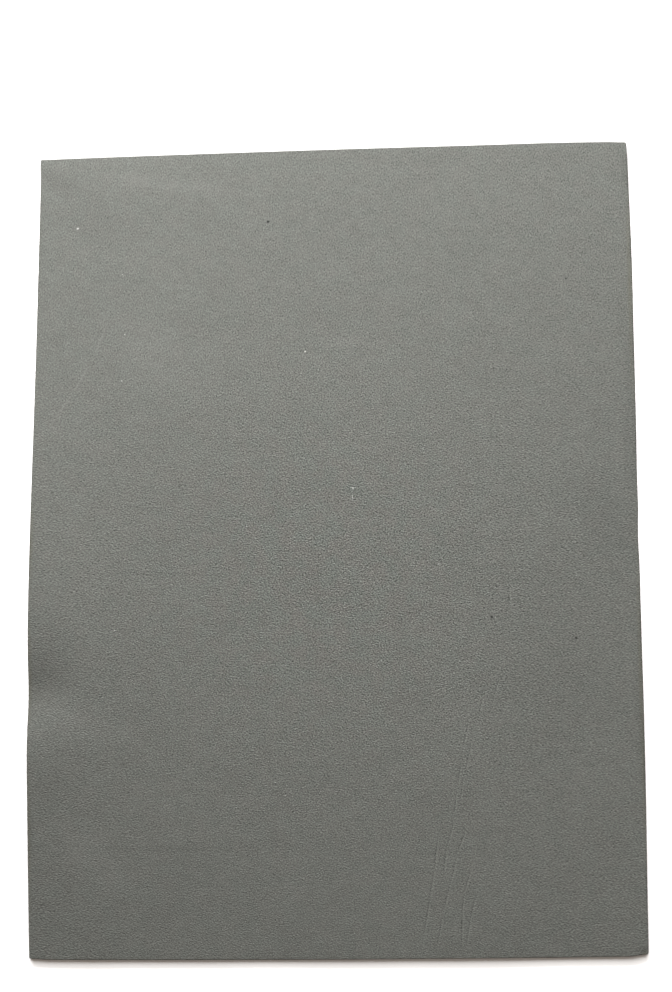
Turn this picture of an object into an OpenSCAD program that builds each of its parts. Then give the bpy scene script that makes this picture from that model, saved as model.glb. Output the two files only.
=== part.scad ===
// Craft foam sheet: one piece of closed-cell foam, cut out flat and laid on a table.
// X runs across the sheet, Y from its near edge to its far edge and Z up.
// The origin is on the table, under the middle of the sheet's box.

/* [Sheet] */
// Width across the middle
sheet_w = 228.6; // [120:0.1:330]
// Length along the middle
sheet_l = 305.7; // [200:0.1:460]
// Thickness of the foam
sheet_t = 2; // [1:0.1:6]

/* [Cut outline] */
// How far the middle of the left edge stands out past its corners
left_bow = 1.65; // [0:0.05:4]
// How far that bow leans to the near corner, 0 for not at all
left_bow_lean = 0.4; // [-1:0.1:1]
// How far the middle of the right edge stands out past its corners
right_bow = 0.35; // [0:0.05:4]
// How far each half of the right edge stands out past its middle, as the blade wandered
right_waver = 0.4; // [0:0.05:2]
// How far the middle of the far edge stands out past its corners
far_bow = 0.55; // [0:0.05:4]
// How far the middle of the near edge stands out past its corners
near_bow = 0.5; // [0:0.05:4]
// How much wider the far end is cut than the near end
right_slant = 0.3; // [-4:0.1:4]
// How much further forward the near left corner is than the near right one
near_slant = 1.4; // [-4:0.1:4]

/* [Worn corners] */
// Radius of the near left corner
near_left_r = 0.6; // [0.2:0.1:6]
// Radius of the near right corner
near_right_r = 0.7; // [0.2:0.1:6]
// Radius of the far right corner
far_right_r = 0.8; // [0.2:0.1:6]
// Radius of the far left corner, which is still sharp
far_left_r = 0.3; // [0.2:0.1:6]

/* [Lie] */
// Height that the left edge has curled up from the table
curl_lift = 3.7; // [0:0.1:12]
// Distance in from the left edge over which the curl dies away
curl_reach = 60; // [30:1:100]
// Distance of the highest part of the curl from the near edge
curl_from_near = 116; // [50:1:200]
// Distance along the edge from the highest part of the curl to its ends
curl_half_l = 124; // [60:1:200]
// Share of the curl that the dip in the left edge takes away
dip_share = 0.88; // [0:0.05:1]
// Distance of the dip from the near edge
dip_from_near = 96.5; // [50:1:200]
// Half width of the dip along the edge
dip_half_l = 13.5; // [8:0.5:40]
// How rounded the dip's bottom is: 2 for a smooth hollow, lower for nearer a crease
dip_roundness = 1.7; // [1.2:0.1:2.4]
// Distance in from the left edge over which the dip dies away
dip_reach = 28; // [20:1:80]

/* [Hidden] */

// Straight stretches along each bowed edge, and along each corner's round
edge_steps = 20;
corner_steps = 6;
// Largest step between the points that carry the curl's shape
curl_step = 5;
// Spare width all round the slab that the outline is cut from
trim = 5;

// The four corners before they wear, anticlockwise from the near left
near_left = [-sheet_w / 2 + left_bow, -sheet_l / 2 + near_bow - near_slant / 2];
near_right = [sheet_w / 2 - right_bow - right_slant / 2, -sheet_l / 2 + near_bow + near_slant / 2];
far_right = [sheet_w / 2 - right_bow + right_slant / 2, sheet_l / 2 - far_bow];
far_left = [-sheet_w / 2 + left_bow, sheet_l / 2 - far_bow];

// An edge's two corners, anticlockwise, how far its middle stands out, how far that leans on, and
// how far each half wavers out
near_edge = [near_left, near_right, near_bow, 0, 0];
right_edge = [near_right, far_right, right_bow, 0, right_waver];
far_edge = [far_right, far_left, far_bow, 0, 0];
left_edge = [far_left, near_left, left_bow, left_bow_lean, 0];

// The point at share t along an edge, and the edge's direction there
function edge_point(edge, t) =
    let (
        along = edge[1] - edge[0],
        out = [along[1], -along[0]] / norm(along),
        bow = 4 * t * (1 - t) * (1 + edge[3] * (2 * t - 1)) * edge[2],
        waver = pow(sin(360 * t), 2) * edge[4]
    )
    edge[0] + t * along + (bow + waver) * out;
function edge_angle(edge, t) =
    let (step = edge_point(edge, t + 0.001) - edge_point(edge, t - 0.001))
    atan2(step[1], step[0]);

// The round of radius r where one edge meets the next
function corner_round(edge, next_edge, r) =
    let (
        came = edge_angle(edge, 1),
        turn = (edge_angle(next_edge, 0) - came + 720) % 360,
        start = edge[1] - r * tan(turn / 2) * [cos(came), sin(came)],
        middle = start + r * [-sin(came), cos(came)]
    )
    [for (i = [0:corner_steps])
        let (a = came - 90 + turn * i / corner_steps)
        middle + r * [cos(a), sin(a)]];

// An edge, and the round that ends it
function edge_and_round(edge, next_edge, r) = concat(
    [for (i = [1:edge_steps - 1]) edge_point(edge, i / edge_steps)],
    corner_round(edge, next_edge, r)
);

outline = concat(
    edge_and_round(near_edge, right_edge, near_right_r),
    edge_and_round(right_edge, far_edge, far_right_r),
    edge_and_round(far_edge, left_edge, far_left_r),
    edge_and_round(left_edge, near_edge, near_left_r)
);
outline_x = [for (p = outline) p[0]];
outline_y = [for (p = outline) p[1]];
outline_middle = [max(outline_x) + min(outline_x), max(outline_y) + min(outline_y)] / 2;

// Height of the foam's underside above the table, in_from_left in from the left edge
function fade(s) = s >= 1 ? 0 : s <= 0 ? 1 : pow(1 - s, 2) * (1 + 2 * s);
function curl(from_near) = curl_lift * fade(abs(from_near - curl_from_near) / curl_half_l);
function dip(in_from_left, from_near) =
    let (away = abs(from_near - dip_from_near) / dip_half_l)
    dip_share * exp(-pow(away, dip_roundness)) * fade(in_from_left / dip_reach);
function lie(in_from_left, from_near) =
    curl(from_near) * fade(in_from_left / curl_reach) * (1 - dip(in_from_left, from_near));

// Places of the slab's points: close together across the curl, and none across the flat part
curl_columns = ceil(curl_reach / curl_step);
slab_rows = ceil((sheet_l + 2 * trim) / curl_step);
columns = concat(
    [-trim],
    [for (i = [0:curl_columns]) i * curl_reach / curl_columns],
    [sheet_w + trim]
);
rows = [for (j = [0:slab_rows]) -trim + j * (sheet_l + 2 * trim) / slab_rows];
n = len(columns);
m = len(rows);

// The slab before it is cut out: top and underside follow the same lie
module lying_slab() {
    points = [for (top = [0, 1]) for (y = rows) for (x = columns)
        [x - sheet_w / 2, y - sheet_l / 2, lie(x, y) + top * sheet_t]];
    top_start = n * m;
    upper = [for (j = [0:m - 2]) for (i = [0:n - 2])
        let (a = top_start + j * n + i)
        each [[a, a + n, a + n + 1], [a, a + n + 1, a + 1]]];
    under = [for (j = [0:m - 2]) for (i = [0:n - 2])
        let (a = j * n + i)
        each [[a, a + n + 1, a + n], [a, a + 1, a + n + 1]]];
    near_and_far = [for (i = [0:n - 2]) for (j = [0, m - 1])
        let (a = j * n + i, b = a + 1)
        each j == 0
            ? [[a, a + top_start, b + top_start], [a, b + top_start, b]]
            : [[a, b + top_start, a + top_start], [a, b, b + top_start]]];
    left_and_right = [for (j = [0:m - 2]) for (i = [0, n - 1])
        let (a = j * n + i, b = a + n)
        each i == 0
            ? [[a, b + top_start, a + top_start], [a, b, b + top_start]]
            : [[a, a + top_start, b + top_start], [a, b + top_start, b]]];
    polyhedron(points, concat(upper, under, near_and_far, left_and_right));
}

module foam_sheet() {
    color("#7b7c76")
    translate([-outline_middle[0], -outline_middle[1], 0])
    intersection() {
        lying_slab();
        translate([0, 0, -trim])
            linear_extrude(sheet_t + curl_lift + 2 * trim)
            polygon(outline);
    }
}

foam_sheet();
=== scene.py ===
import math

import bpy
from mathutils import Matrix, Vector
from mathutils.bvhtree import BVHTree
from mathutils.kdtree import KDTree


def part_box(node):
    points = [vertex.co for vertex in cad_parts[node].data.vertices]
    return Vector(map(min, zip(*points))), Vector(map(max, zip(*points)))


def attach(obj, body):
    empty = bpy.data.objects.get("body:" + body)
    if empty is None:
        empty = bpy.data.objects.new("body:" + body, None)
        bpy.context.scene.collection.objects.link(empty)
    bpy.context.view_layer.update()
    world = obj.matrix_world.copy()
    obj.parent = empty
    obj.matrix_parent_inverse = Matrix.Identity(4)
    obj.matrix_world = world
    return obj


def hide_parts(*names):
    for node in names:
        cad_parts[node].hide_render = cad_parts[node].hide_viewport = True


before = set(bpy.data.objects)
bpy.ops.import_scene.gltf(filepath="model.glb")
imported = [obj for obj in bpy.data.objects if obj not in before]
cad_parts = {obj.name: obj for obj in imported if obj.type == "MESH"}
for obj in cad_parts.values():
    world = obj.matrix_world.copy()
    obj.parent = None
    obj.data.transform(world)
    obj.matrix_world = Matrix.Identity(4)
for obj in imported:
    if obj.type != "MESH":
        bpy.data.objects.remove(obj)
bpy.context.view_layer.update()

# ---------------------------------------------------------------------------------------------
# Foam sheet: one layer of closed-cell EVA foam, sliced from a block and cut out with a blade.
# It lies loose on the table with its left edge curled up, and both faces have a fine orange-peel
# grain. The cut edge shows the pores, and its corners are knocked.
sheet_low, sheet_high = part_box("foam_sheet")
half_w = max(-sheet_low.x, sheet_high.x)
half_l = max(-sheet_low.y, sheet_high.y)
cad_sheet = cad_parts["foam_sheet"]

# The section through the cut edge, in metres: the faces press in a little before they turn over it.
SHEET_T = 0.002
UPPER_ROUND = 0.00028
UNDER_ROUND = 0.0002
UNDER_BAND = 0.003
RIM_PRESS = 0.00007
RIM_PRESS_REACH = 0.003
CUT_ROUGH_SIZE = 0.0016
CUT_ROUGH_DEPTH = 0.00003
WALL_LOW = UNDER_ROUND / 2
WALL_HIGH = SHEET_T - UPPER_ROUND
# How finely the faces and the edge are divided, and the stretches of a line that is pushed.
UPPER_CELLS = (240, 320)
UNDER_CELLS = (60, 80)
UPPER_ROUND_STEPS = 4
UNDER_ROUND_STEPS = 2
WALL_STEPS = 3
LINE_STEPS = 24
# How it lies: the frame's facets are eased, and faint waves added. The rim lies as the foam does just
# inside it, so LIE_REACH is the share of the way out at which its height is read.
LIE_INSET = 0.0001
LIE_REACH = 0.998
LIE_ABOVE = 0.02
EASE_SHARE = 0.5
EASE_STEPS = 30
WAVE_SIZE = 0.034
WAVE_HEIGHT = 0.00035


def cut_edge_near(x, y):
    """The point on the frame's cut edge that is nearest to (x, y)."""
    place = cad_sheet.closest_point_on_mesh(Vector((x, y, SHEET_T / 2)))[1]
    return place.xy


def add_face_grid(name, cells, inset):
    """A flat grid whose rim follows the frame's cut edge, inset in from it."""
    bpy.ops.object.select_all(action="DESELECT")
    bpy.ops.mesh.primitive_grid_add(x_subdivisions=cells[0], y_subdivisions=cells[1], size=2)
    grid = bpy.context.object
    grid.name = name
    grid.data.name = name

    def pull(u, v):
        """How far the plain grid's rim has to move there to reach its place."""
        at = Vector((u * half_w, v * half_l))
        return cut_edge_near(*at) - at - Vector((u, v)) * inset

    across = [n / cells[0] * 2 - 1 for n in range(cells[0] + 1)]
    along = [n / cells[1] * 2 - 1 for n in range(cells[1] + 1)]
    left = [pull(-1, v) for v in along]
    right = [pull(1, v) for v in along]
    near = [pull(u, -1) for u in across]
    far = [pull(u, 1) for u in across]
    for point in grid.data.vertices:
        to_right = (point.co.x + 1) / 2
        to_far = (point.co.y + 1) / 2
        i = round(to_right * cells[0])
        j = round(to_far * cells[1])
        near_corners = left[0].lerp(right[0], to_right)
        far_corners = left[-1].lerp(right[-1], to_right)
        move = left[j].lerp(right[j], to_right) + near[i].lerp(far[i], to_far)
        move -= near_corners.lerp(far_corners, to_far)
        point.co.x = across[i] * half_w + move.x
        point.co.y = along[j] * half_l + move.y
    return grid


def roughen(piece, name, size, depth, direction, group=""):
    """Moves the piece's points, or a group of them, by a cloud of that size and depth."""
    waves = bpy.data.textures.new(name, "CLOUDS")
    waves.noise_scale = size
    waves.noise_depth = 1
    shift = piece.modifiers.new(name, "DISPLACE")
    shift.texture = waves
    shift.texture_coords = "LOCAL"
    shift.direction = direction
    shift.strength = depth
    shift.vertex_group = group
    bpy.context.view_layer.objects.active = piece
    bpy.ops.object.modifier_apply(modifier=name)


def add_lie():
    """A copy of the frame's upper face, its facets eased and faintly wavy: how the foam lies."""
    lie = add_face_grid("lie", UPPER_CELLS, LIE_INSET)
    lie.data.transform(Matrix.Translation((0, 0, LIE_ABOVE)))
    drop = lie.modifiers.new("drop", "SHRINKWRAP")
    drop.target = cad_sheet
    drop.wrap_method = "PROJECT"
    drop.use_project_z = True
    drop.use_negative_direction = True
    drop.use_positive_direction = False
    ease = lie.modifiers.new("ease", "SMOOTH")
    ease.use_x = False
    ease.use_y = False
    ease.factor = EASE_SHARE
    ease.iterations = EASE_STEPS
    bpy.ops.object.modifier_apply(modifier="drop")
    bpy.ops.object.modifier_apply(modifier="ease")
    roughen(lie, "lie_waves", WAVE_SIZE, WAVE_HEIGHT, "Z")
    return lie


def grow_rim(outwards, down):
    """Extrudes the open rim to a new loop that lies further out and further down."""
    bpy.ops.mesh.extrude_edges_move(TRANSFORM_OT_translate={"value": (0, 0, -down)})
    factors = (1 + outwards / half_w, 1 + outwards / half_l, 1)
    bpy.ops.transform.resize(value=factors, center_override=(0, 0, 0))


def push(piece, line, move, reach):
    """Pushes the points along a line of places, and with them the foam within reach. In millimetres."""
    bpy.ops.object.mode_set(mode="EDIT")
    bpy.ops.mesh.select_all(action="DESELECT")
    bpy.ops.object.mode_set(mode="OBJECT")
    points = piece.data.vertices
    tree = KDTree(len(points))
    for point in points:
        tree.insert(point.co, point.index)
    tree.balance()
    for start, end in zip(line, line[1:] + line[-1:], strict=True):
        for step in range(LINE_STEPS + 1):
            place = Vector(start).lerp(Vector(end), step / LINE_STEPS) / 1000
            points[tree.find(place)[1]].select = True
    bpy.ops.object.mode_set(mode="EDIT")
    bpy.ops.transform.translate(
        value=Vector(move) / 1000,
        use_proportional_edit=True,
        proportional_edit_falloff="SMOOTH",
        proportional_size=reach / 1000,
    )
    bpy.ops.object.mode_set(mode="OBJECT")


# The sheet is cut out flat. Its skin turns over the upper edge, and the lower edge is nearly sharp.
foam = add_face_grid("soft_foam_sheet", UPPER_CELLS, UPPER_ROUND)
foam.data.transform(Matrix.Translation((0, 0, SHEET_T)))
bpy.ops.object.mode_set(mode="EDIT")
bpy.ops.mesh.select_all(action="SELECT")
bpy.ops.mesh.region_to_loop()
bpy.ops.transform.translate(
    value=(0, 0, -RIM_PRESS),
    use_proportional_edit=True,
    proportional_edit_falloff="SMOOTH",
    proportional_size=RIM_PRESS_REACH,
)
for step in range(UPPER_ROUND_STEPS):
    a = math.pi / 2 * step / UPPER_ROUND_STEPS
    b = math.pi / 2 * (step + 1) / UPPER_ROUND_STEPS
    grow_rim(UPPER_ROUND * (math.sin(b) - math.sin(a)), UPPER_ROUND * (math.cos(a) - math.cos(b)))
for step in range(WALL_STEPS):
    grow_rim(0, (SHEET_T - UPPER_ROUND - UNDER_ROUND) / WALL_STEPS)
for step in range(UNDER_ROUND_STEPS):
    a = math.pi / 2 * step / UNDER_ROUND_STEPS
    b = math.pi / 2 * (step + 1) / UNDER_ROUND_STEPS
    grow_rim(UNDER_ROUND * (math.cos(b) - math.cos(a)), UNDER_ROUND * (math.sin(b) - math.sin(a)))
bpy.ops.object.mode_set(mode="OBJECT")

# The underside is a coarser grid, which a band of faces joins to the foot of the cut edge.
underside = add_face_grid("underside", UNDER_CELLS, UNDER_BAND)
underside.select_set(True)
foam.select_set(True)
bpy.context.view_layer.objects.active = foam
bpy.ops.object.join()
bpy.ops.object.mode_set(mode="EDIT")
bpy.ops.mesh.select_all(action="DESELECT")
bpy.ops.mesh.select_non_manifold()
bpy.ops.mesh.fill(use_beauty=True)
bpy.ops.mesh.select_all(action="SELECT")
bpy.ops.mesh.normals_make_consistent(inside=False)
bpy.ops.object.mode_set(mode="OBJECT")

# The blade leaves the wall between the two rounds slightly rough.
wall = [point.index for point in foam.data.vertices if WALL_LOW < point.co.z < WALL_HIGH]
foam.vertex_groups.new(name="wall").add(wall, 1.0, "REPLACE")
roughen(foam, "cut_roughness", CUT_ROUGH_SIZE, CUT_ROUGH_DEPTH, "NORMAL", "wall")

# Laid on the table, every point rises by as much as the upper face lies higher there than if flat.
lie = add_lie()
lie_tree = BVHTree.FromObject(lie, bpy.context.evaluated_depsgraph_get())
for point in foam.data.vertices:
    above = Vector((point.co.x * LIE_REACH, point.co.y * LIE_REACH, 1))
    height = lie_tree.ray_cast(above, Vector((0, 0, -1)))[0].z
    point.co.z = max(point.co.z + height - SHEET_T, 0)
bpy.data.objects.remove(lie)
bpy.ops.object.select_all(action="DESELECT")
foam.select_set(True)
bpy.context.view_layer.objects.active = foam
bpy.ops.object.shade_smooth()

# Cutting and handling: a line of places, the way that they are pushed, and how far from them the foam
# follows, in millimetres.
PUSHES = (
    # The blade wandered along the right and far edges.
    ([(114.4, 10, 1)], (0.15, 0, 0), 60),
    ([(114.4, 1, 1)], (-0.28, 0, 0), 13),
    ([(114.2, 112, 1)], (0.24, 0, 0), 38),
    ([(85, 152.3, 1)], (0, 0.2, 0), 32),
    # The far left corner is drawn out. Both near corners are knocked in, the right one down too.
    ([(-114.2, 152, 1)], (-0.3, 0, 0), 9),
    ([(-112.5, -152.8, 1)], (0, 0.35, 0), 8),
    ([(114, -151.9, 1)], (0, 0.75, 0), 7.2),
    ([(113, -151, 2)], (0, 0, -0.3), 3.5),
    # The near part of the curl stands higher, and the near edge is a little off the table.
    ([(-114.3, -77, 1)], (0, 0, 0.5), 27),
    ([(10, -152.9, 2), (50, -152.9, 2)], (0, 0, 0.15), 45),
    # The right edge dips where two strokes of the blade met, and the far right corner is knocked in.
    ([(114.4, 26, 1)], (-0.12, 0, 0), 13),
    ([(113.8, 152.3, 1)], (-0.3, -0.2, 0), 8),
    # Fingers have left three shallow dents and a dented line.
    ([(38, -101.9, 2)], (0, 0, -0.08), 2.5),
    ([(47, -106.3, 2)], (0, 0, -0.08), 2.5),
    ([(-57.2, -13.1, 2)], (0, 0, -0.08), 4),
    ([(-4.7, -109.7, 2), (0.8, -117, 2), (20.8, -123.1, 2)], (0, 0, -0.03), 3),
)
for line, move, reach in PUSHES:
    push(foam, line, move, reach)

# The table holds up whatever was pushed down into it.
for point in foam.data.vertices:
    point.co.z = max(point.co.z, 0)


def add_node(tree, kind, inputs=None, **settings):
    """Adds a node with its settings, and gives each named or numbered input its value or link."""
    node = tree.nodes.new(kind)
    for name, value in settings.items():
        setattr(node, name, value)
    for name, value in (inputs or {}).items():
        if isinstance(value, bpy.types.NodeSocket):
            tree.links.new(value, node.inputs[name])
        else:
            node.inputs[name].default_value = value
    return node


def work_out(tree, operation, *values):
    """The result of a Math node on up to three values."""
    return add_node(tree, "ShaderNodeMath", dict(enumerate(values)), operation=operation).outputs[0]


def ramp(tree, value, low, high, to_low=0.0, to_high=1.0):
    """value carried smoothly from low..high to to_low..to_high, and held at the ends."""
    inputs = {"Value": value, "From Min": low, "From Max": high, "To Min": to_low, "To Max": to_high}
    return add_node(tree, "ShaderNodeMapRange", inputs, interpolation_type="SMOOTHSTEP").outputs[0]


def cloud(tree, place, size, detail=0.0, stretch=1.0):
    """Noise about 0, from -0.5 to 0.5, whose blots are about that size in metres, stretched along X.

    Its grid leans every way, and starts well off the sheet, so that no rows or rings show on the foam.
    """
    off_sheet = add_node(tree, "ShaderNodeVectorMath", {0: place, 1: CLOUD_START}, operation="SUBTRACT")
    inputs = {"Vector": off_sheet.outputs[0], "Rotation": CLOUD_TURN}
    inputs["Scale"] = (1 / size / stretch, 1 / size, 1 / size)
    moved = add_node(tree, "ShaderNodeMapping", inputs, vector_type="POINT").outputs[0]
    inputs = {"Vector": moved, "Scale": 1.0, "Detail": detail}
    noise = add_node(tree, "ShaderNodeTexNoise", inputs)
    return work_out(tree, "SUBTRACT", noise.outputs[0], 0.5)


def grain(tree, place, size, stretch, streak):
    """Even noise about 0, with one blot to every size metres and none much wider, stretched along X.

    streak is 0 for blots that run every way, and 1 for lines that all run along X.
    """
    off_sheet = add_node(tree, "ShaderNodeVectorMath", {0: place, 1: CLOUD_START}, operation="SUBTRACT")
    inputs = {"Vector": off_sheet.outputs[0], "Scale": (1 / size / stretch, 1 / size, 1)}
    moved = add_node(tree, "ShaderNodeMapping", inputs, vector_type="POINT").outputs[0]
    inputs = {"Vector": moved, "Scale": 1.0, "Frequency": 1.0, "Anisotropy": streak}
    inputs["Orientation 2D"] = math.pi / 2
    noise = add_node(tree, "ShaderNodeTexGabor", inputs, gabor_type="2D")
    return work_out(tree, "SUBTRACT", noise.outputs["Value"], 0.5)


def cross_fade(tree, share, first, second):
    """first where share is 0 and second where it is 1, and as strong as either in between."""
    turn = work_out(tree, "MULTIPLY", share, math.pi / 2)
    first = work_out(tree, "MULTIPLY", first, work_out(tree, "COSINE", turn))
    return work_out(tree, "MULTIPLY_ADD", second, work_out(tree, "SINE", turn), first)


def tint(tree, colour, share, blend_type, other):
    """colour mixed with other by share."""
    inputs = {0: share, 6: colour, 7: other}
    return add_node(tree, "ShaderNodeMix", inputs, data_type="RGBA", blend_type=blend_type).outputs[2]


# Where the noise of every pattern starts, and how the clouds lean, in radians.
CLOUD_START = (0.6, 0.5, 0)
CLOUD_TURN = (0.7, 0.5, 0.3)
# The skin's colour and finish. The cut has the same low gloss.
FOAM_COLOUR = (0.198, 0.205, 0.188, 1)
SKIN_ROUGHNESS = 0.85
FOAM_SPECULAR = 0.1
# The grain's relief, as bump.
GRAIN_SIZE = 0.0004
GRAIN_STRETCH = 1.6
GRAIN_DEPTH = 0.00032
# The grain's tone, partly the foam's own and partly painted shade in its pits and on its slopes. It runs
# every way in the middle, turns to streaks along X on either side, and grows coarser and softer towards
# the far edge, sooner on the left.
SPECKLE_AND_SHADE_CONTRAST = 2.72
MIDDLE_SIZE = 0.00085
MIDDLE_STRETCH = 1.05
MIDDLE_STREAK = 0.12
SIDE_SIZE = 0.00085
SIDE_STRETCH = 1.5
SIDE_STREAK = 0.2
SIDE_MIDDLE = -0.01
SIDE_FROM = 0.03
SIDE_TO = 0.11
FAR_SIZE = 0.0012
FAR_STRETCH = 0.75
FAR_GAIN = 0.88
FAR_RELIEF = 0.2
FAR_LEAN = 0.15
FAR_FROM = 0.0
FAR_TO = 0.14
# The sheet is least worn round its middle, where the grain is strong. There the foam is also painted a
# little paler, as painted light that makes up for the shade of the grain's bump.
FRESH_MIDDLE = (-0.004, -0.012, 0.002)
FRESH_REACH = 0.14
WORN_GRAIN = 0.5
WORN_TONE = 0.922
MIDDLE_PAINTED_LIGHT = 0.13
# Painted light and shade, the part of the light's fall across the sheet that the soft boxes leave out:
# how the tone changes with X * Y, with X and with Y, for each metre.
CORNER_PAINTED_SHADE = -2.27
SIDE_PAINTED_SHADE = -0.215
LENGTH_PAINTED_SHADE = -0.028
# Layers of blotches: their size, detail, stretch along X and contrast.
MOTTLES = (
    (0.003, 1.0, 1.2, 0.22),
    (0.008, 1.0, 1.5, 0.08),
    (0.03, 1.0, 3.0, 0.05),
)
# Blots of a warmer and a cooler grey, which show most on the fresh foam.
HUE_SIZE = 0.006
HUE_DETAIL = 1.0
HUE_SPREAD = 0.2
HUE_CONTRAST = 0.35
WORN_HUE_CONTRAST = 0.12
HUE_REACH = (0.02, 0.08)
WARM = (1.06, 0.97, 0.97, 1)
COOL = (0.94, 1.03, 1.01, 1)
# The strength of the painted highlight and painted shade on either side of a scuff, and the colours of
# the other marks.
SCUFF_PAINTED_LIGHT = 0.85
DARK_MARK_AND_SHADE = (0.02, 0.02, 0.02, 1)
OLIVE_PAINTED_SHADE = (0.16, 0.155, 0.115, 1)
PALE_MARK = (0.55, 0.55, 0.52, 1)
WHITE_MARK = (0.8, 0.8, 0.77, 1)

# Marks on the upper face: both ends and the width of each stretch, in millimetres from the sheet's
# middle. The scuffs are painted grooves, a painted highlight on one side and painted shade on the other,
# whose stretches overlap into long lines.
SCUFF_PAINTED_GROOVES = (
    ((66.0, -8.7), (66.4, -31.2), 1.7),
    ((51.3, -62.3), (47.3, -81.2), 1.3),
    ((48.4, -75.3), (45.4, -95.2), 1.3),
    ((46.3, -87.6), (43.6, -107.9), 1.3),
    ((44.9, -101.9), (41.3, -113.8), 1.6),
    ((42.1, -109.8), (40.1, -124.3), 1.6),
    ((57.8, -51.9), (50.5, -77.1), 1.2),
    ((52.4, -70.1), (47.6, -91.0), 1.2),
    ((48.9, -83.8), (46.0, -100.5), 1.1),
    ((49.8, -103.2), (44.4, -118.2), 1.5),
    ((45.7, -113.7), (42.4, -128.2), 1.5),
    ((43.8, -121.6), (39.0, -140.7), 1.3),
    ((40.2, -135.6), (37.4, -149.9), 1.3),
    ((38.7, -107.1), (36.9, -122.6), 1.6),
    ((37.5, -118.0), (35.0, -132.9), 1.6),
    ((36.2, -125.7), (32.2, -148.8), 1.5),
    ((51.6, -116.6), (47.2, -131.5), 1.2),
    ((48.1, -127.7), (46.6, -137.5), 1.2),
    ((47.3, -129.9), (46.5, -151.4), 1.6),
    ((52.3, -129.0), (49.5, -139.8), 1.6),
    ((50.4, -135.9), (47.8, -150.3), 1.6),
    ((63.2, -46.0), (57.3, -67.0), 1.1),
)
SCRATCH = (
    ((-108, 45.8), (-97.4, 61.9), 1.4),
    ((-100.3, 56.9), (-90.3, 74.9), 1.4),
    ((-92.1, 70.8), (-85.1, 88.8), 1.3),
)
PALE_SPECKS = (
    ((-98.2, 124.2), (-97.9, 124.4), 1.15),
    ((-9.8, 73.4), (-9.5, 73.6), 0.82),
    ((8.2, 20.9), (8.2, 20.1), 0.7),
    ((8.1, 18.7), (8, 15.7), 0.33),
    ((-17.8, -93.4), (-17.5, -93.6), 0.55),
    ((-81.9, -31.8), (-81.6, -32), 0.62),
    ((-32.1, 6.9), (-31.9, 6.6), 0.46),
    ((-79.3, 81.8), (-79.1, 82), 0.56),
    ((-80.3, 63.7), (-80.1, 63.7), 0.62),
    ((-80.4, 105.5), (-80.2, 105.5), 0.38),
    ((40, -8.5), (40.1, -8.5), 0.58),
)
DARK_SPECKS = (
    ((-23.9, 124.9), (-23.7, 124.9), 1.65),
    ((59.3, -28.3), (59.5, -28.8), 1.3),
    ((90.2, -36.7), (90.4, -36.7), 1.5),
    ((89.5, 99.3), (89.7, 99.4), 0.95),
)
# Broad paler and darker bands, darkened edges, and the thin dark line where the face turns over
# the right edge, which is painted shade.
PALE_BANDS = (
    ((-105.2, 147.3), (-20.2, 134.3), 9),
    ((-84, 84), (-52, 66), 40),
    ((-106, -60), (-84, -72), 24),
    ((-104, -108), (-78, -124), 26),
    ((-50.2, 109.3), (-42.2, 109.3), 6),
    ((-0.2, 77.3), (11.8, 77.3), 6),
    ((-28.2, -33.7), (-18.2, -33.7), 5),
)
DARK_BANDS = (
    ((-103.2, -10.2), (-34.2, -11.2), 2),
    ((-98.2, -112.7), (-30.2, -112.7), 4),
    ((-80.2, -75.7), (-73.2, -95.7), 1.2),
    ((112.5, 152), (112.8, 126), 6),
    ((112.3, 66.3), (113.8, 26.3), 2),
    ((112.5, 64), (113.5, 2), 12),
    ((112.6, 90), (113.6, 18), 8),
    ((112.8, -34), (113.2, -104), 6),
    ((-113, 146), (-98, 140), 14),
    ((-113.2, 146), (-113.6, 96), 5),
    ((-113.2, -98), (-113, -116), 5),
    ((96, 20), (112, -8), 36),
    ((112.3, -59.7), (112.8, -96.7), 1.8),
)
BROAD_BANDS = (
    ((84, 0), (80, -85), 70),
    ((-112, 130), (-75, 128), 34),
)
# Painted shade: a warm dark line along the rims, where the face turns over the edge.
EDGE_PAINTED_SHADE = (
    ((-113.8, 25), (-114.3, -25), 3),
    ((-114.2, -15), (-114.1, -80), 3.4),
    ((-114.3, -60), (-112.9, -151), 3),
    ((111, -151.6), (113.8, -150), 2.6),
    ((113.6, 150), (113.4, 40), 3),
    ((113.6, 20), (113.6, -140), 3),
)
# Painted shade: the thin dark line where the face turns over the right edge.
RIGHT_RIM_PAINTED_SHADE = (
    ((113.35, 152), (114.05, 122), 1),
    ((113.98, 126), (114.23, 96), 1),
    ((114.23, 102), (114.13, 44), 1),
    ((114.16, 50), (113.96, 16), 1),
    ((113.9, 16), (113.9, -14), 1),
    ((113.9, -8), (114.05, -66), 1),
    ((114.07, -58), (113.8, -108), 1),
    ((113.85, -102), (113.35, -152), 1),
)
# All but the scuffs, in the order in which they are laid on: the places, the strength and the colour.
FACE_MARKS = (
    (PALE_BANDS, 0.05, PALE_MARK),
    (DARK_BANDS, 0.10, DARK_MARK_AND_SHADE),
    (BROAD_BANDS, 0.05, DARK_MARK_AND_SHADE),
    (EDGE_PAINTED_SHADE, 0.4, OLIVE_PAINTED_SHADE),
    (RIGHT_RIM_PAINTED_SHADE, 0.3, DARK_MARK_AND_SHADE),
    (SCRATCH, 0.11, PALE_MARK),
    (PALE_SPECKS, 0.9, WHITE_MARK),
    (DARK_SPECKS, 1.0, DARK_MARK_AND_SHADE),
)


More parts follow.
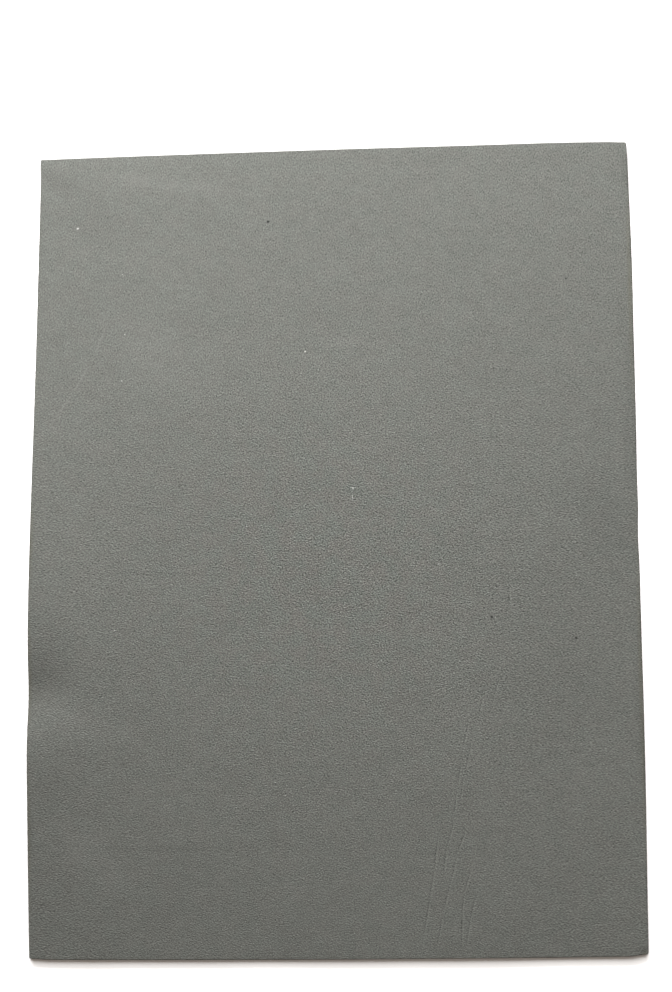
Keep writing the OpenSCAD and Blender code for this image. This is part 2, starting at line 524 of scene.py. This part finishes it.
def marks(tree, place, shapes, as_painted_groove=False):
    """Where the marks are: 1 along the middle of each, falling to 0 at its outline.

    When painted as a groove, each is painted light and shade: above 0 on its left hand, a painted
    highlight, and below 0 on its right, painted shade.
    """
    found = 0.0
    for start, end, width in shapes:
        start, end = Vector(start).to_3d() / 1000, Vector(end).to_3d() / 1000
        middle = (start + end) / 2
        run = end - start
        half_width = width / 2000
        inputs = {
            "Vector": place,
            "Location": middle,
            "Rotation": (0, 0, math.atan2(run.y, run.x)),
            "Scale": (run.length / 2 + half_width, half_width, 1),
        }
        own = add_node(tree, "ShaderNodeMapping", inputs, vector_type="TEXTURE").outputs[0]
        # The gradient takes the place as the mapping gives it, so the shader never has to hold the
        # places of all the marks at once, for which it has no room.
        inwards = add_node(tree, "ShaderNodeTexGradient", {0: own}, gradient_type="SPHERICAL")
        inside = ramp(tree, inwards.outputs["Fac"], 0.0, 1.0)
        if as_painted_groove:
            left = Vector((-run.y, run.x, 0)).normalized() / half_width
            over = add_node(tree, "ShaderNodeVectorMath", {0: place, 1: left}, operation="DOT_PRODUCT")
            hand = work_out(tree, "SUBTRACT", over.outputs["Value"], left.dot(middle))
            found = work_out(tree, "MULTIPLY_ADD", inside, hand, found)
        else:
            found = work_out(tree, "MAXIMUM", found, inside)
    return found


def foam_skin(name, marked):
    """A face of the foam: matt, finely grained and mottled, with painted light and shade across it and
    in its grain, and when marked, scuffed and specked too, with painted shade along its rims.
    """
    material = bpy.data.materials.new(name)
    material.use_nodes = True
    tree = material.node_tree
    shader = tree.nodes["Principled BSDF"]
    place = add_node(tree, "ShaderNodeTexCoord").outputs["Object"]
    inputs = {0: place, 1: FRESH_MIDDLE}
    apart = add_node(tree, "ShaderNodeVectorMath", inputs, operation="DISTANCE").outputs["Value"]
    fresh_and_painted_light = ramp(tree, apart, 0.0, FRESH_REACH, 1.0, WORN_GRAIN)

    at = add_node(tree, "ShaderNodeSeparateXYZ", {0: place}).outputs
    # The middle is painted paler, as painted light against the shade of the grain's bump there.
    tone = work_out(tree, "MULTIPLY_ADD", fresh_and_painted_light, MIDDLE_PAINTED_LIGHT, WORN_TONE)
    # Painted light and shade across the sheet, lighter or darker by X * Y, by X and by Y.
    fade = work_out(tree, "MULTIPLY", at["X"], at["Y"])
    tone = work_out(tree, "MULTIPLY_ADD", fade, CORNER_PAINTED_SHADE, tone)
    tone = work_out(tree, "MULTIPLY_ADD", at["X"], SIDE_PAINTED_SHADE, tone)
    tone = work_out(tree, "MULTIPLY_ADD", at["Y"], LENGTH_PAINTED_SHADE, tone)
    to_side = work_out(tree, "ABSOLUTE", work_out(tree, "SUBTRACT", at["X"], SIDE_MIDDLE))
    to_side = ramp(tree, to_side, SIDE_FROM, SIDE_TO)
    to_far = work_out(tree, "MULTIPLY_ADD", at["X"], -FAR_LEAN, at["Y"])
    to_far = ramp(tree, to_far, FAR_FROM, FAR_TO)
    middle_speckle = grain(tree, place, MIDDLE_SIZE, MIDDLE_STRETCH, MIDDLE_STREAK)
    side_speckle = grain(tree, place, SIDE_SIZE, SIDE_STRETCH, SIDE_STREAK)
    far_speckle = work_out(tree, "MULTIPLY", grain(tree, place, FAR_SIZE, FAR_STRETCH, 0.0), FAR_GAIN)
    # Speckle, partly painted shade in the grain's pits; its streaks along X on either side are painted
    # shade of the grain's slopes.
    speckle_and_shade = cross_fade(tree, to_side, middle_speckle, side_speckle)
    speckle_and_shade = cross_fade(tree, to_far, speckle_and_shade, far_speckle)
    speckle_and_shade = work_out(tree, "MULTIPLY", speckle_and_shade, fresh_and_painted_light)
    tone = work_out(tree, "MULTIPLY_ADD", speckle_and_shade, SPECKLE_AND_SHADE_CONTRAST, tone)
    for size, detail, stretch, contrast in MOTTLES:
        tone = work_out(tree, "MULTIPLY_ADD", cloud(tree, place, size, detail, stretch), contrast, tone)
    hue_share = ramp(tree, apart, HUE_REACH[0], HUE_REACH[1], HUE_CONTRAST, WORN_HUE_CONTRAST)
    warmth = ramp(tree, cloud(tree, place, HUE_SIZE, HUE_DETAIL), -HUE_SPREAD, HUE_SPREAD)
    hue = tint(tree, COOL, warmth, "MIX", WARM)

    if marked:
        # Scuffs: a painted highlight on one side of each groove and painted shade on the other.
        scuff_light_and_shade = marks(tree, place, SCUFF_PAINTED_GROOVES, as_painted_groove=True)
        tone = work_out(tree, "MULTIPLY_ADD", scuff_light_and_shade, SCUFF_PAINTED_LIGHT, tone)
    colour = tint(tree, FOAM_COLOUR, 1.0, "MULTIPLY", tone)
    colour = tint(tree, colour, hue_share, "MULTIPLY", hue)

    if marked:
        for shapes, strength, mark_colour in FACE_MARKS:
            share = work_out(tree, "MULTIPLY", marks(tree, place, shapes), strength)
            colour = tint(tree, colour, share, "MIX", mark_colour)
    tree.links.new(colour, shader.inputs["Base Color"])

    shader.inputs["Roughness"].default_value = SKIN_ROUGHNESS
    shader.inputs["Specular IOR Level"].default_value = FOAM_SPECULAR
    height = work_out(tree, "MULTIPLY", cloud(tree, place, GRAIN_SIZE, stretch=GRAIN_STRETCH), fresh_and_painted_light)
    height = work_out(tree, "MULTIPLY", height, ramp(tree, to_far, 0, 1, 1.0, FAR_RELIEF))
    bump = add_node(tree, "ShaderNodeBump", {"Height": height, "Distance": GRAIN_DEPTH})
    tree.links.new(bump.outputs[0], shader.inputs["Normal"])
    return material


# The cut foam's colour and finish, its pores' size, reach, painted shade and depth, and its blots.
CUT_COLOUR = (0.14, 0.138, 0.117, 1)
CUT_ROUGHNESS = 0.95
PORE_SIZE = 0.00022
PORE_REACH = 0.45
PORE_PAINTED_SHADE = 0.45
PORE_DEPTH = 0.00006
CUT_BLOT_SIZE = 0.003
CUT_BLOT_DETAIL = 2.0
CUT_BLOT_CONTRAST = 0.5


def cut_foam():
    """Foam that a blade went through: its cells lie open as fine pores, painted darker than their walls
    as shade in the hollows.
    """
    material = bpy.data.materials.new("cut_foam")
    material.use_nodes = True
    tree = material.node_tree
    shader = tree.nodes["Principled BSDF"]
    place = add_node(tree, "ShaderNodeTexCoord").outputs["Object"]
    inputs = {"Vector": place, "Scale": 1 / PORE_SIZE}
    cells = add_node(tree, "ShaderNodeTexVoronoi", inputs, feature="F1").outputs["Distance"]
    solid = ramp(tree, cells, 0.0, PORE_REACH)
    tone = ramp(tree, solid, 0, 1, PORE_PAINTED_SHADE, 1.0)
    blots = cloud(tree, place, CUT_BLOT_SIZE, CUT_BLOT_DETAIL)
    tone = work_out(tree, "MULTIPLY_ADD", blots, CUT_BLOT_CONTRAST, tone)
    colour = tint(tree, CUT_COLOUR, 1.0, "MULTIPLY", tone)
    tree.links.new(colour, shader.inputs["Base Color"])
    shader.inputs["Roughness"].default_value = CUT_ROUGHNESS
    shader.inputs["Specular IOR Level"].default_value = FOAM_SPECULAR
    bump = add_node(tree, "ShaderNodeBump", {"Height": solid, "Distance": PORE_DEPTH})
    tree.links.new(bump.outputs[0], shader.inputs["Normal"])
    return material


# The faces turn over into the cut where their normals lean past FACE_SLOPE. The numbers are the
# materials' places on the piece.
FACE_SLOPE = 0.9
UPPER_FACE, UNDER_FACE, CUT_FACE = 0, 1, 2
foam.data.materials.append(foam_skin("upper_skin", marked=True))
foam.data.materials.append(foam_skin("under_skin", marked=False))
foam.data.materials.append(cut_foam())
for face in foam.data.polygons:
    if abs(face.normal.z) < FACE_SLOPE:
        face.material_index = CUT_FACE
    elif face.normal.z < 0:
        face.material_index = UNDER_FACE
    else:
        face.material_index = UPPER_FACE
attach(foam, "root")
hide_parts("foam_sheet")

# ---------------------------------------------------------------------------------------------
# Table: a plain pale top that the sheet lies on. It is seen as white, and keeps the sheet's shadow.
# Around the sheet it fades into the white of the room.
TABLE_SIZE = 6.0
TABLE_TONE = 0.8
# The tone that is seen. It falls over the last stretch to the far edge, so that the edge stays smooth.
TABLE_SEEN_TONE = 2.5
TABLE_FAR_SEEN_TONE = 1.2
TABLE_FAR_FROM = 0.12
# The room for the shadow round the sheet, and where it fades to white, as shares of the way out to it.
SHADOW_ROOM = 0.03
WHITE_FROM = 1.5
WHITE_TO = 2.2


def table_top():
    """A matt pale top, brighter as it is seen than in the light that it throws back."""
    material = bpy.data.materials.new("table_top")
    material.use_nodes = True
    tree = material.node_tree
    tree.nodes.clear()
    rays = add_node(tree, "ShaderNodeLightPath").outputs
    seen = work_out(tree, "MAXIMUM", rays["Is Camera Ray"], rays["Is Glossy Ray"])
    seen = work_out(tree, "MAXIMUM", seen, rays["Is Transmission Ray"])
    place = add_node(tree, "ShaderNodeTexCoord").outputs["Object"]
    to_far = add_node(tree, "ShaderNodeSeparateXYZ", {0: place}).outputs["Y"]
    seen_tone = ramp(tree, to_far, TABLE_FAR_FROM, half_l, TABLE_SEEN_TONE, TABLE_FAR_SEEN_TONE)
    seen_tone = work_out(tree, "MULTIPLY", seen_tone, seen)
    unseen = work_out(tree, "SUBTRACT", 1.0, seen)
    tone = work_out(tree, "MULTIPLY_ADD", unseen, TABLE_TONE, seen_tone)
    shaded = add_node(tree, "ShaderNodeBsdfDiffuse", {"Color": tone}).outputs[0]
    shares = (1 / (half_w + SHADOW_ROOM), 1 / (half_l + SHADOW_ROOM), 1)
    inputs = {0: place, 1: shares}
    way_out = add_node(tree, "ShaderNodeVectorMath", inputs, operation="MULTIPLY").outputs[0]
    apart = add_node(tree, "ShaderNodeVectorMath", {0: way_out}, operation="LENGTH").outputs["Value"]
    white_share = work_out(tree, "MULTIPLY", ramp(tree, apart, WHITE_FROM, WHITE_TO), seen)
    white = add_node(tree, "ShaderNodeEmission", {"Color": (1, 1, 1, 1), "Strength": 1.0}).outputs[0]
    both = add_node(tree, "ShaderNodeMixShader", {0: white_share, 1: shaded, 2: white}).outputs[0]
    add_node(tree, "ShaderNodeOutputMaterial", {"Surface": both})
    return material


bpy.ops.object.select_all(action="DESELECT")
bpy.ops.mesh.primitive_plane_add(size=TABLE_SIZE)
table = bpy.context.object
table.name = "table"
table.data.materials.append(table_top())

# ---------------------------------------------------------------------------------------------
# Light: a high and a low soft box beyond the far edge, in a white room that adds little of its own.
# Each box's name, place, tilt about X in degrees, width and depth, and power in watts.
SOFT_BOXES = (
    ("high_soft_box", (0.141, 0.293, 0.503), -47.1, (1.0, 0.425), 2.37),
    ("low_soft_box", (-0.205, 0.638, 0.352), -35.9, (1.2, 0.23), 8.77),
)
ROOM_LIGHT = (0.115, 0.10, 0.088, 1)

for name, place, tilt, size, power in SOFT_BOXES:
    bpy.ops.object.light_add(type="AREA", location=place, rotation=(math.radians(tilt), 0, 0))
    soft_box = bpy.context.object
    soft_box.name = name
    soft_box.data.shape = "RECTANGLE"
    soft_box.data.size, soft_box.data.size_y = size
    soft_box.data.energy = power
    soft_box.visible_camera = False

room = bpy.data.worlds.new("room")
bpy.context.scene.world = room
room.use_nodes = True
room_tree = room.node_tree
room_rays = add_node(room_tree, "ShaderNodeLightPath").outputs
room_seen = work_out(room_tree, "MAXIMUM", room_rays["Is Camera Ray"], room_rays["Is Glossy Ray"])
room_seen = work_out(room_tree, "MAXIMUM", room_seen, room_rays["Is Transmission Ray"])
room_tree.links.new(
    tint(room_tree, ROOM_LIGHT, room_seen, "MIX", (1, 1, 1, 1)),
    room_tree.nodes["Background"].inputs["Color"],
)

# ---------------------------------------------------------------------------------------------
# Camera: looks almost straight down on the sheet, from a little to its right. Its turn is in degrees.
CAMERA_PLACE = (0.06103, -0.08866, 0.73846)
CAMERA_TURN = (8.167, 4.65, -0.353)
CAMERA_LENS = 72

camera_turn = [math.radians(angle) for angle in CAMERA_TURN]
bpy.ops.object.camera_add(location=CAMERA_PLACE, rotation=camera_turn)
camera = bpy.context.object
camera.data.lens = CAMERA_LENS
bpy.context.scene.camera = camera
bpy.context.scene.view_settings.view_transform = "Standard"
